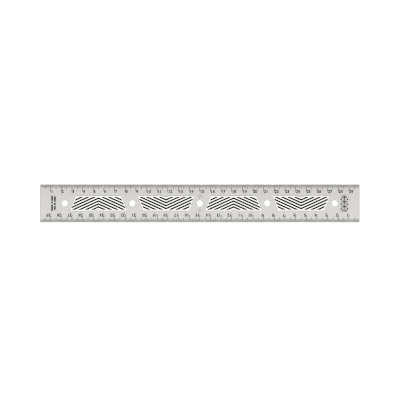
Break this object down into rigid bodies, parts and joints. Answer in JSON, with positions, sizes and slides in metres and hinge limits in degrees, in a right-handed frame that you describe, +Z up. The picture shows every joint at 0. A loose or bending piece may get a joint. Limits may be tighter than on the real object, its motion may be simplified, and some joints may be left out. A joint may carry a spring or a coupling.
{
  "type": "quilting ruler",
  "caption": "Straight see-through ruler for quilting and sewing, with centimetre scales on both long edges, round through holes and chevron grip pads.",
  "frame": {"origin": "centre of the underside, on the surface that the ruler lies on", "axes": "+X along the ruler's length, rising with the upper scale; +Y across the plate, towards the upper scale; +Z up, out of the face with the grip pads"},
  "size_m": [0.3, 0.0354, 0.0034],
  "materials": {
    "plate": "polished",
    "pad": "matte",
    "rib": "matte",
    "ink": "matte"
  },
  "bodies": {
    "root": {"ruler_plate": "plate", "grip_pad_1": "pad", "grip_pad_2": "pad", "grip_pad_3": "pad", "grip_pad_4": "pad", "grip_rib_1_01": "rib", "grip_rib_1_02": "rib", "grip_rib_1_03": "rib", "grip_rib_1_04": "rib", "grip_rib_1_05": "rib", "grip_rib_1_06": "rib", "grip_rib_1_07": "rib", "grip_rib_1_08": "rib", "grip_rib_1_09": "rib", "grip_rib_1_10": "rib", "grip_rib_2_01": "rib", "grip_rib_2_02": "rib", "grip_rib_2_03": "rib", "grip_rib_2_04": "rib", "grip_rib_2_05": "rib", "grip_rib_2_06": "rib", "grip_rib_2_07": "rib", "grip_rib_2_08": "rib", "grip_rib_2_09": "rib", "grip_rib_2_10": "rib", "grip_rib_3_01": "rib", "grip_rib_3_02": "rib", "grip_rib_3_03": "rib", "grip_rib_3_04": "rib", "grip_rib_3_05": "rib", "grip_rib_3_06": "rib", "grip_rib_3_07": "rib", "grip_rib_3_08": "rib", "grip_rib_3_09": "rib", "grip_rib_3_10": "rib", "grip_rib_4_01": "rib", "grip_rib_4_02": "rib", "grip_rib_4_03": "rib", "grip_rib_4_04": "rib", "grip_rib_4_05": "rib", "grip_rib_4_06": "rib", "grip_rib_4_07": "rib", "grip_rib_4_08": "rib", "grip_rib_4_09": "rib", "grip_rib_4_10": "rib"}
  },
  "joints": []
}
